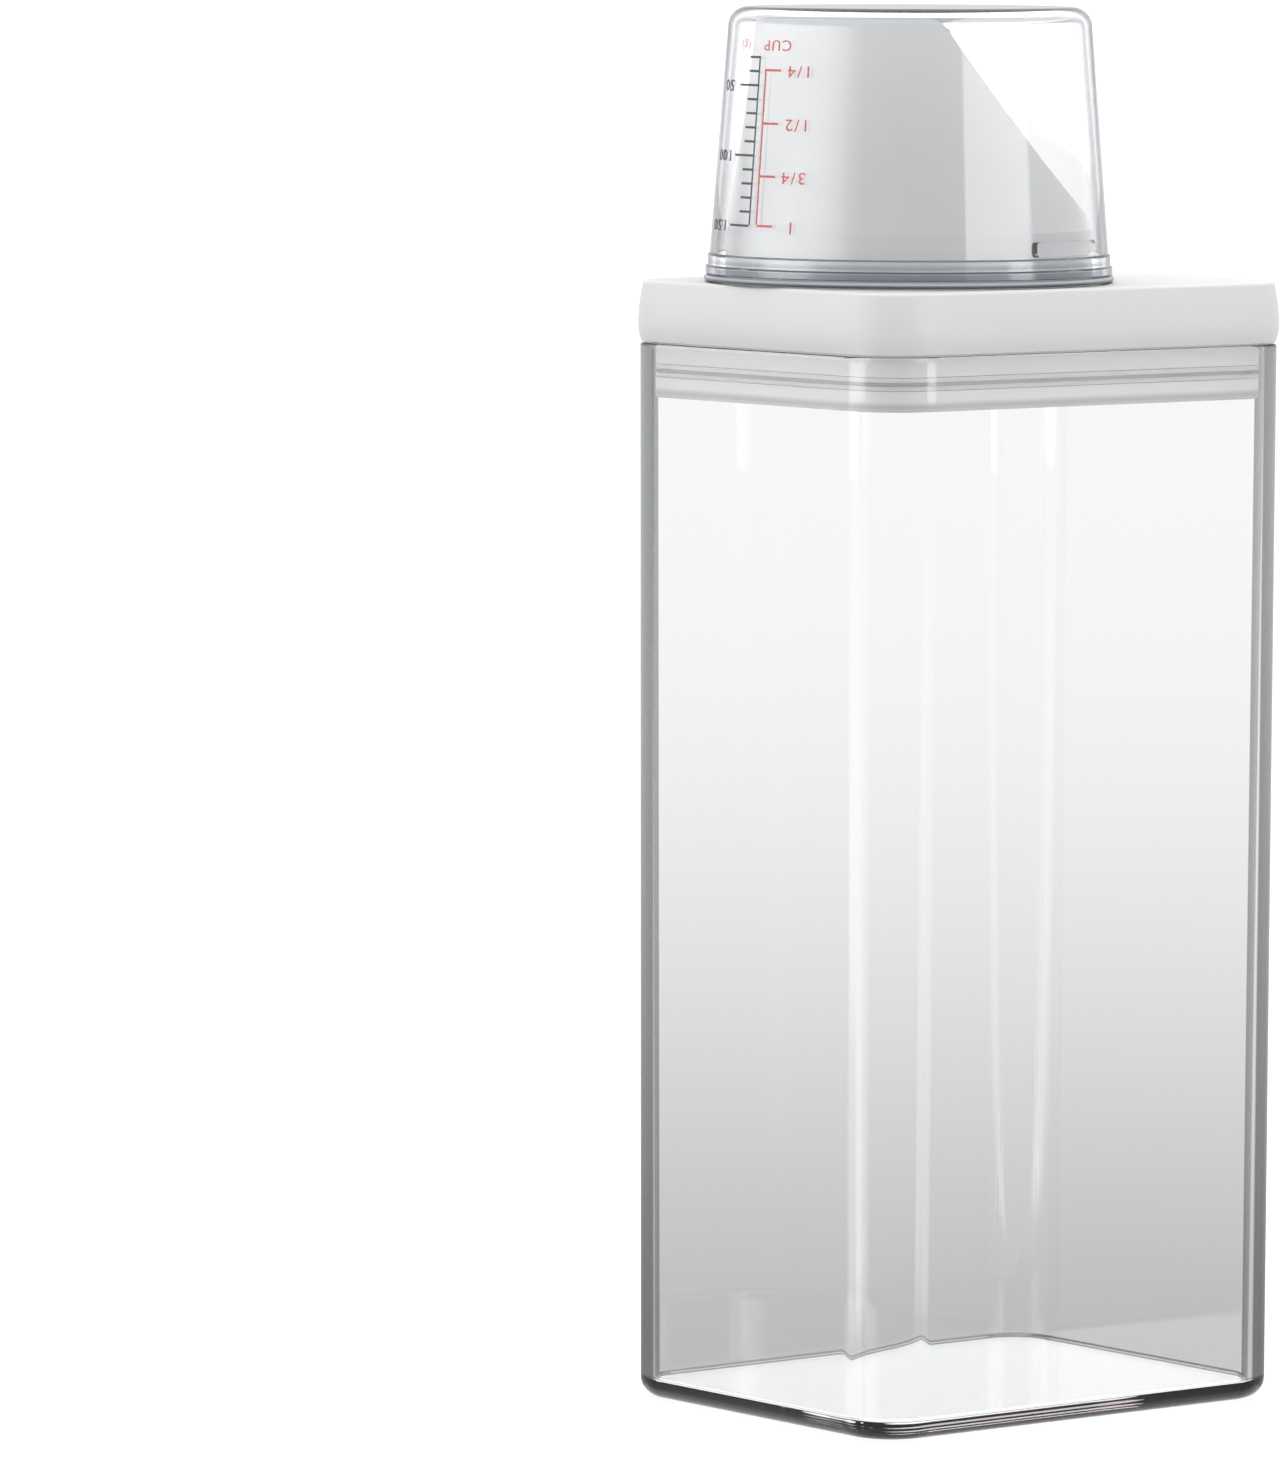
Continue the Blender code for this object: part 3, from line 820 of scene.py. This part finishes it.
def make_cup_ring():
    """A soft seal ring below the cup's rim, with a rounded outside."""
    low, high = RING_LOW.z, RING_HIGH.z
    inner, outer = RING_RADII
    bead = (high - low) / 2
    profile = [(inner, low)]
    profile += arc((outer - bead, low + bead), bead, -90, 90)
    profile.append((inner, high))
    return lathe("grey_cup_ring", profile, looped=True)


# ---------------------------------------------------------------- printed scale

INK_LIFT = 0.00003
INK_THICK = 0.00006
TALL_BAR = 0.004  # a bar taller than this gets more rows, to follow the cup's side
TALL_ROWS = 6
WORD_DEPTH = 0.5  # half thickness of the words as typed, before they are laid on the cup
WORD_SPACING = 1.2
WORD_CURVE_STEPS = 3


def on_cup(angle, up, lift):
    """The point on the cup's outside at a plan angle in degrees and a height above the lid."""
    return about_axis(cup_radius(up) + lift, math.radians(angle), LID_TOP + up)


def print_bar(work, begin, end, low, high):
    """A printed bar between two plan angles and two heights."""
    columns = max(1, math.ceil(abs(end - begin)))
    rows = TALL_ROWS if high - low > TALL_BAR else 1
    heights = [low + (high - low) * j / rows for j in range(rows + 1)]
    faces = []
    for lift in (INK_LIFT, INK_LIFT + INK_THICK):
        grid = []
        for i in range(columns + 1):
            angle = begin + (end - begin) * i / columns
            grid.append([work.verts.new(on_cup(angle, up, lift)) for up in heights])
        faces.append(grid)
        for i in range(columns):
            for j in range(rows):
                work.faces.new((grid[i][j], grid[i + 1][j], grid[i + 1][j + 1], grid[i][j + 1]))
    back, front = faces
    edge = [(i, 0) for i in range(columns)] + [(columns, j) for j in range(rows)]
    edge += [(i, rows) for i in range(columns, 0, -1)] + [(0, j) for j in range(rows, 0, -1)]
    for (i, j), (k, m) in zip(edge, edge[1:] + edge[:1]):
        work.faces.new((back[i][j], back[k][m], front[k][m], front[i][j]))


def print_words(work, words, angle, up, height, stretch):
    """Words centred at a plan angle and height, wider than usual by stretch.

    They are turned over like the cup, so they read upright when it is filled.
    """
    curve = bpy.data.curves.new("words", "FONT")
    curve.body = words
    curve.size = 1.0
    curve.align_x = "CENTER"
    curve.align_y = "CENTER"
    curve.extrude = WORD_DEPTH
    curve.space_character = WORD_SPACING
    curve.resolution_u = WORD_CURVE_STEPS
    obj = bpy.data.objects.new("words", curve)
    bpy.context.scene.collection.objects.link(obj)
    graph = bpy.context.evaluated_depsgraph_get()
    mesh = bpy.data.meshes.new_from_object(obj.evaluated_get(graph))
    bpy.data.objects.remove(obj, do_unlink=True)
    piece = bmesh.new()
    piece.from_mesh(mesh)
    bmesh.ops.remove_doubles(piece, verts=piece.verts, dist=0.0001)
    lows = [min(vertex.co[axis] for vertex in piece.verts) for axis in (0, 1)]
    highs = [max(vertex.co[axis] for vertex in piece.verts) for axis in (0, 1)]
    scale = height / (highs[1] - lows[1])
    turn_per_metre = math.degrees(1.0 / cup_radius(up))
    copies = {}
    for vertex in piece.verts:
        across = (vertex.co.x - (lows[0] + highs[0]) / 2) * scale * stretch
        rise = (vertex.co.y - (lows[1] + highs[1]) / 2) * scale
        lift = INK_LIFT + INK_THICK * (vertex.co.z > 0)
        copies[vertex] = work.verts.new(on_cup(angle - across * turn_per_metre, up - rise, lift))
    for face in piece.faces:
        work.faces.new([copies[vertex] for vertex in face.verts])
    piece.free()


GRAM_LINE = 177.7  # plan angle of the gram scale's upright line, degrees
CUP_LINE = 180.4  # and of the cup scale's
LINE_WIDTH = 0.6  # degrees
MARK_HEIGHT = 0.0005
GRAM_TOP = 0.0506  # height of the first gram mark
GRAM_STEP = 0.00309
GRAM_MARKS = 13
GRAM_FIRST = 30
GRAM_EACH = 10
GRAM_LABELS = (50, 100, 150)
GRAM_REACH = (5.2, 10.5)  # length of a short and of a labelled gram mark, degrees
CUP_MARKS = (("1/4", 0.0478), ("1/2", 0.0361), ("3/4", 0.0245), ("1", 0.0136))
CUP_REACH = 7.0
LABEL_DROP = 0.0005  # how far a label's middle is below its mark
LABEL_AWAY = 9.0  # degrees from a gram mark to its label's middle, and from the line to its unit
CUP_UNIT_AWAY = 4.8
UNITS_UP = 0.0530  # height of the two units above the scales


def make_gram_scale():
    work = bmesh.new()
    foot = GRAM_TOP - GRAM_STEP * (GRAM_MARKS - 1)
    print_bar(work, GRAM_LINE - LINE_WIDTH, GRAM_LINE, foot, GRAM_TOP)
    for mark in range(GRAM_MARKS):
        up = GRAM_TOP - GRAM_STEP * mark
        grams = GRAM_FIRST + GRAM_EACH * mark
        labelled = grams in GRAM_LABELS
        end = GRAM_LINE - LINE_WIDTH - GRAM_REACH[labelled]
        print_bar(work, end, GRAM_LINE - LINE_WIDTH, up - MARK_HEIGHT, up)
        if labelled:
            print_words(work, str(grams), end - LABEL_AWAY, up - LABEL_DROP, 0.0025, 1.7)
    return add_mesh("printed_gram_scale", work)


def make_cup_scale():
    work = bmesh.new()
    print_bar(work, CUP_LINE, CUP_LINE + LINE_WIDTH, CUP_MARKS[-1][1], CUP_MARKS[0][1])
    for words, up in CUP_MARKS:
        print_bar(work, CUP_LINE + LINE_WIDTH, CUP_LINE + CUP_REACH, up - MARK_HEIGHT, up)
        print_words(work, words, CUP_LINE + 2 * CUP_REACH, up - LABEL_DROP, 0.0026, 1.25)
    print_words(work, "CUP", CUP_LINE + CUP_UNIT_AWAY, UNITS_UP, 0.0024, 1.2)
    print_words(work, "(g)", GRAM_LINE - LABEL_AWAY, UNITS_UP, 0.0026, 1.2)
    return add_mesh("printed_cup_scale", work)


# ---------------------------------------------------------------- studio

FLOOR_HALF = 40.0
FLOOR_DROP = 0.0002  # below the jar's underside
FLOOR_GREY = (0.5, 0.5, 0.5)
FLOOR_ROUGH = 0.9
FLOOR_GLOW = 0.58  # what the floor adds of its own where the camera sees it
FLOOR_BOUNCE = 0.55  # how bright the floor is to matt surfaces

# The floor's painted shade and light, as reflections and clear plastic show it
FLOOR_FAR = 0.955  # brightness at some distance
FLOOR_FALL = 0.49  # how much less it is beside the bottle: the painted shade pool
FLOOR_CURVE = 1.3  # the fall fades as the exponent of -FLOOR_FADE times distance to this power
FLOOR_FADE = 1.15
FLOOR_HORIZON = 0.07  # how much brighter it gets towards the horizon, painted light
HORIZON = (4.5, 9.0)  # and between which distances
FLOOR_UNDER = 1.02  # painted brightness right under the bottle
CAMERA_SIDE = 270.0 - math.degrees(VIEW_AZIMUTH)  # plan angle of the camera, degrees
POOL_SIDE = (CAMERA_SIDE + 180.0, 125.0, 60.0)  # where the pool is full, as a lobe
POOL_FRONT = 0.35  # share of its fall elsewhere

# Lights. A lobe is its middle's plan angle, its half width and the half width of its full part.
RIGHT_LIGHT = (CAMERA_SIDE + 55.3, 22.3, 20.7)
FLOOR_LIGHTS = ((CAMERA_SIDE - 74.0, 23.0, 3.0), (CAMERA_SIDE + 68.0, 10.5, 4.0))
SKY_LIGHTS = ((CAMERA_SIDE - 74.0, 47.0, 3.0), RIGHT_LIGHT)
BACK_LIGHT = (CAMERA_SIDE + 180.0, 60.0, 15.0)
FRONT_DIM = (CAMERA_SIDE, 80.0, 10.0)
DIM_SHARE = 0.30  # how much darker the studio is in front of the bottle
LIGHTS_FROM = (0.005 - JAR_HALF[0], 0.005 - JAR_HALF[1], 0.0)  # the floor's lights fan out from here
LIGHTS_BEGIN = (0.10, 0.26)  # how far from there they begin, and where they are full
FLOOR_POWERS = (3.7, 3.6)  # how bright the left and the right one would be at LIGHTS_FROM
FLOOR_REACH = 1.1  # distance in which they fade to 1/e
FAR_LIGHTS = (3.68, 3.84, 6.2, 7.2)  # they come back between the first two and end between the last
FAR_SHARE = 1.2  # how bright they are there, for the white band under the lid to reflect
SKY_POWERS = (2.6, 2.45)  # the left and the right light above the floor
SKY_LIGHTS_END = (0.22, 0.40)  # heights of direction between which these fade out
BACK_POWER = 1.0
BACK_LIGHT_END = (0.3, 0.6)
OVERHEAD = (0.25, 0.85, 0.78, 1.6)  # from one height of direction to another, brightness rises so
MATT_SHARE = 0.20  # how much of the lights above the floor reaches matt surfaces


def light_lobe(tree, direction, lobe):
    """How much of a studio light lies in a plan direction: 1 in its middle, 0 outside it."""
    angle, half, full = (math.radians(value) for value in lobe)
    along = vector_node(tree, "DOT_PRODUCT", direction, (math.cos(angle), math.sin(angle), 0.0))
    return soft_step(tree, along, math.cos(half), math.cos(full))


def plan_direction(tree, vector):
    """A vector laid flat, and the same with unit length."""
    flat = vector_node(tree, "MULTIPLY", vector, (1.0, 1.0, 0.0))
    return flat, vector_node(tree, "NORMALIZE", flat)


def side_lights(tree, direction, lobes, powers):
    left, right = (
        times(tree, light_lobe(tree, direction, lobe), power)
        for lobe, power in zip(lobes, powers)
    )
    return plus(tree, left, right)


def floor_lights(tree, place, path):
    """The side lights in the floor: only in reflections, fading with distance, and back far away."""
    away, direction = plan_direction(tree, vector_node(tree, "SUBTRACT", place, LIGHTS_FROM))
    distance = vector_node(tree, "LENGTH", away)
    lights = side_lights(tree, direction, FLOOR_LIGHTS, FLOOR_POWERS)
    lights = times(tree, lights, soft_step(tree, distance, *LIGHTS_BEGIN))
    fading = math_node(tree, "EXPONENT", times(tree, distance, -1.0 / FLOOR_REACH))
    back = soft_step(tree, distance, *FAR_LIGHTS[:2])
    back = math_node(tree, "SUBTRACT", back, soft_step(tree, distance, *FAR_LIGHTS[2:]))
    fading = plus(tree, fading, times(tree, back, FAR_SHARE))
    lights = times(tree, lights, fading)
    reflected = math_node(tree, "GREATER_THAN", path.outputs["Glossy Depth"], 0.5)
    return times(tree, lights, reflected)


def floor_pool(tree, place):
    """The grey pool behind the bottle, a brighter horizon, and a bright patch under the jar."""
    # painted shade pool, painted brighter horizon and painted bright patch under the jar, all in the
    # floor's glow
    flat, outward = plan_direction(tree, place)
    length = vector_node(tree, "LENGTH", flat)
    power = math_node(tree, "POWER", length, FLOOR_CURVE)
    fade = math_node(tree, "EXPONENT", times(tree, power, -FLOOR_FADE))
    share = times(tree, light_lobe(tree, outward, POOL_SIDE), 1.0 - POOL_FRONT)
    fade = times(tree, fade, plus(tree, share, POOL_FRONT))
    pool = math_node(tree, "SUBTRACT", FLOOR_FAR, times(tree, fade, FLOOR_FALL))
    far = times(tree, soft_step(tree, length, *HORIZON), FLOOR_HORIZON)
    pool = plus(tree, pool, far)
    reach = vector_node(tree, "ABSOLUTE", vector_node(tree, "DIVIDE", flat, (*JAR_HALF, 1.0)))
    sides = add_node(tree, "ShaderNodeSeparateXYZ")
    tree.links.new(reach, sides.inputs["Vector"])
    widest = math_node(tree, "MAXIMUM", sides.outputs["X"], sides.outputs["Y"])
    under = math_node(tree, "LESS_THAN", widest, 1.0)
    return math_node(tree, "MAXIMUM", pool, times(tree, under, FLOOR_UNDER))


def make_floor():
    """A pale floor to the camera. Reflections and clear plastic show its pool and its lights."""
    work = bmesh.new()
    bmesh.ops.create_grid(work, x_segments=8, y_segments=8, size=FLOOR_HALF)
    floor = add_mesh("studio_floor", work)
    floor.location.z = JAR_LOW.z - FLOOR_DROP
    paint = Paint("studio_floor")
    tree = paint.tree
    paint.set(Base_Color=(*FLOOR_GREY, 1.0), Roughness=FLOOR_ROUGH)
    paint.set(Emission_Color=(*PLAIN, 1.0), Emission_Strength=FLOOR_GLOW)
    place = paint.place()
    path = paint.node("ShaderNodeLightPath")
    shown = plus(tree, floor_pool(tree, place), floor_lights(tree, place, path))
    strength = paint.node("ShaderNodeMix", data_type="FLOAT")
    paint.link(path.outputs["Is Diffuse Ray"], strength.inputs[0])
    paint.link(shown, strength.inputs[2])
    strength.inputs[3].default_value = FLOOR_BOUNCE
    glow = paint.node("ShaderNodeEmission")
    paint.link(strength.outputs[0], glow.inputs["Strength"])
    mix = paint.node("ShaderNodeMixShader")
    paint.link(path.outputs["Is Camera Ray"], mix.inputs["Fac"])
    paint.link(glow.outputs["Emission"], mix.inputs[1])
    paint.link(paint.shader.outputs["BSDF"], mix.inputs[2])
    paint.link(mix.outputs["Shader"], paint.output.inputs["Surface"])
    paint.material.cycles.emission_sampling = "NONE"
    floor.data.materials.append(paint.material)


def make_world():
    """A white studio: brighter overhead and behind, dimmer in front, with two tall side lights."""
    world = bpy.data.worlds.new("studio")
    bpy.context.scene.world = world
    world.use_nodes = True
    tree = world.node_tree
    background = tree.nodes["Background"]
    background.inputs["Color"].default_value = (*PLAIN, 1.0)
    place = add_node(tree, "ShaderNodeTexCoord").outputs["Generated"]
    _, direction = plan_direction(tree, place)
    split = add_node(tree, "ShaderNodeSeparateXYZ")
    tree.links.new(place, split.inputs["Vector"])
    up = split.outputs["Z"]
    path = add_node(tree, "ShaderNodeLightPath")
    through = path.outputs["Is Transmission Ray"]
    clear = math_node(tree, "MAXIMUM", path.outputs["Is Glossy Ray"], through)
    overhead = soft_step(tree, up, *OVERHEAD)
    dim = times(tree, light_lobe(tree, direction, FRONT_DIM), -DIM_SHARE)
    overhead = times(tree, overhead, plus(tree, dim, 1.0))
    lights = side_lights(tree, direction, SKY_LIGHTS, SKY_POWERS)
    sides = times(tree, lights, soft_step(tree, up, *SKY_LIGHTS_END, 1.0, 0.0))
    shown = plus(tree, times(tree, clear, 1.0 - MATT_SHARE), MATT_SHARE)
    sides = times(tree, sides, shown)
    behind = soft_step(tree, up, *BACK_LIGHT_END, BACK_POWER, 0.0)
    behind = times(tree, light_lobe(tree, direction, BACK_LIGHT), behind)
    behind = times(tree, behind, through)
    total = plus(tree, plus(tree, overhead, sides), behind)
    mix = add_node(tree, "ShaderNodeMix", data_type="FLOAT")
    tree.links.new(path.outputs["Is Camera Ray"], mix.inputs[0])
    tree.links.new(total, mix.inputs[2])
    mix.inputs[3].default_value = 1.0
    tree.links.new(mix.outputs[0], background.inputs["Strength"])


def make_camera():
    """Stands at the front left, looks slightly down, and keeps the bottle right of the middle."""
    view = Vector((math.sin(VIEW_AZIMUTH), math.cos(VIEW_AZIMUTH), 0.0))
    place = Vector((0.0, 0.0, CAMERA_HEIGHT)) - view * CAMERA_DISTANCE
    facing = Matrix.Rotation(-VIEW_AZIMUTH, 4, "Z") @ Matrix.Rotation(math.pi / 2, 4, "X")
    yaw = Matrix.Rotation(-CAMERA_YAW, 4, "Y")
    pitch = Matrix.Rotation(-CAMERA_PITCH, 4, "X")
    roll = Matrix.Rotation(CAMERA_ROLL, 4, "Z")
    data = bpy.data.cameras.new("camera")
    data.sensor_width = CAMERA_SENSOR
    data.lens = CAMERA_LENS
    data.clip_start, data.clip_end = CAMERA_CLIP
    camera = bpy.data.objects.new("camera", data)
    camera.matrix_world = Matrix.Translation(place) @ facing @ yaw @ pitch @ roll
    bpy.context.scene.collection.objects.link(camera)
    bpy.context.scene.camera = camera
    bpy.context.scene.view_settings.view_transform = "Standard"


# ---------------------------------------------------------------- assembly


def finish_piece(piece, material, body, slot, *nodes):
    piece.data.materials.clear()
    piece.data.materials.append(material)
    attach(piece, body)
    if nodes:
        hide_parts(*nodes)


STEP_TOP, STEPS_TOP = (LID_TOP + top for _, top in STEPS)
# painted shade grey for the gasket's fin
FIN_SHADE_GREY = (0.60, 0.60, 0.59)
# painted shade grey for the plug's foot
PLUG_SHADE_GREY = (0.66, 0.64, 0.62)

# Painted shade by height: rows of (height, colour)
# painted shade in the jar's thick foot, where the clear base looks dark
JAR_FOOT_SHADE = (
    (0.0003, PLAIN),
    (0.0007, (0.60, 0.50, 0.47)),
    (0.0016, (0.34, 0.25, 0.23)),
    (0.0023, (0.06, 0.05, 0.05)),
    (0.0034, (0.02, 0.03, 0.05)),
    (0.0041, PLAIN),
)
# the same painted shade, lighter, on faces towards -Y
JAR_FRONT_FOOT_SHADE = (
    (0.0003, PLAIN),
    (0.0007, (0.80, 0.68, 0.65)),
    (0.0016, (0.62, 0.50, 0.47)),
    (0.0023, (0.36, 0.30, 0.29)),
    (0.0034, (0.25, 0.25, 0.27)),
    (0.0041, PLAIN),
)
# painted shade in bands on the cup's stepped rim
CUP_RIM_SHADE = (
    (LID_TOP + CUP_RIM, (0.49, 0.51, 0.55)),
    (STEP_TOP - 0.0005, (0.53, 0.55, 0.59)),
    (STEP_TOP - 0.0002, PLAIN),
    (STEP_TOP + 0.0005, PLAIN),
    (STEP_TOP + 0.0008, (0.62, 0.64, 0.68)),
    (STEPS_TOP - 0.0012, (0.80, 0.82, 0.86)),
    (STEPS_TOP - 0.0008, PLAIN),
)
# painted shade in a band near the plug's foot
PLUG_FOOT_SHADE = (
    (PLUG_LOW.z, PLAIN),
    (PLUG_LOW.z + 0.0008, PLUG_SHADE_GREY),
    (PLUG_LOW.z + 0.0013, PLUG_SHADE_GREY),
    (PLUG_LOW.z + 0.0024, PLAIN),
)
# painted shade along the gasket's fin, where it meets the jar's wall
FIN_SHADE = (
    (GASKET_MIDDLE - 0.0005, PLAIN),
    (GASKET_MIDDLE - 0.0003, FIN_SHADE_GREY),
    (GASKET_MIDDLE + 0.0003, FIN_SHADE_GREY),
    (GASKET_MIDDLE + 0.0005, PLAIN),
)
# painted shade at the ring's foot, where it sits on the lid
RING_FOOT_SHADE = (
    (RING_LOW.z, (0.20, 0.20, 0.20)),
    (RING_LOW.z + 0.0005, (0.30, 0.30, 0.32)),
    (RING_LOW.z + 0.0008, PLAIN),
)


def main():
    make_camera()
    make_world()
    make_floor()
    # the edge, foot and ledge tones of both clear plastics are painted shade
    clear_jar = clear_plastic(
        "clear_jar_plastic",
        edge=(0.09, 0.095, 0.10),
        edge_steps=(0.375, 0.42),
        foot=JAR_FOOT_SHADE,
        ledge_top=JAR_LOW.z,
        flow_depth=0.00006,
        front_foot=JAR_FRONT_FOOT_SHADE,
        corners=tuple(half - JAR_CORNER - JAR_DRAFT for half in JAR_HALF),
    )
    clear_cup = clear_plastic(
        "clear_cup_plastic",
        edge=(0.05, 0.06, 0.08),
        edge_steps=(0.62, 0.85),
        foot=CUP_RIM_SHADE,
        ledge_top=LID_TOP + RIB_HEIGHTS[1] + GAP,
        flow_depth=0.00001,
    )
    lid_white = white_plastic("white_lid_plastic", (0.87, 0.87, 0.865), (0.855, 0.855, 0.85), 0.38)
    plug_white = white_plastic(
        "white_plug_plastic", (0.94, 0.94, 0.93), (0.92, 0.92, 0.91), 0.42, PLUG_FOOT_SHADE
    )
    milky = silicone("milky_silicone", (0.92, 0.92, 0.91), (0.89, 0.89, 0.88), 0.45, 0.05, FIN_SHADE)
    seal = silicone("milky_seal_silicone", (0.74, 0.75, 0.75), (0.68, 0.69, 0.70), 0.50, 0.3)
    blue_grey = silicone(
        "grey_silicone", (0.54, 0.565, 0.61), (0.50, 0.525, 0.57), 0.35, 0.1, RING_FOOT_SHADE
    )
    finish_piece(make_jar(), clear_jar, "jar", "clear_jar", "jar")
    finish_piece(make_lid_cover(), lid_white, "lid", "white_lid", "lid_cover")
    finish_piece(make_lid_plug(), plug_white, "lid", "white_plug", "lid_plug")
    finish_piece(make_gasket(), milky, "lid", "clear_silicone", "lid_gasket")
    finish_piece(make_spout(), frosted_plastic("frosted_spout_plastic"), "lid", "frosted_spout", "spout")
    finish_piece(make_cup(), clear_cup, "cup", "clear_cup", "measuring_cup")
    finish_piece(make_cup_ring(), blue_grey, "cup_ring", "grey_silicone", "cup_ring")
    dark_ink = ink("dark_grey_ink", (0.05, 0.05, 0.06), (0.09, 0.09, 0.10))
    red_ink = ink("red_ink", (0.70, 0.11, 0.09), (0.76, 0.18, 0.15))
    finish_piece(make_gram_scale(), dark_ink, "cup", "clear_cup")
    finish_piece(make_cup_scale(), red_ink, "cup", "clear_cup")
    spout_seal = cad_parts["spout_seal"]
    spout_seal.data.materials.clear()
    spout_seal.data.materials.append(seal)


main()
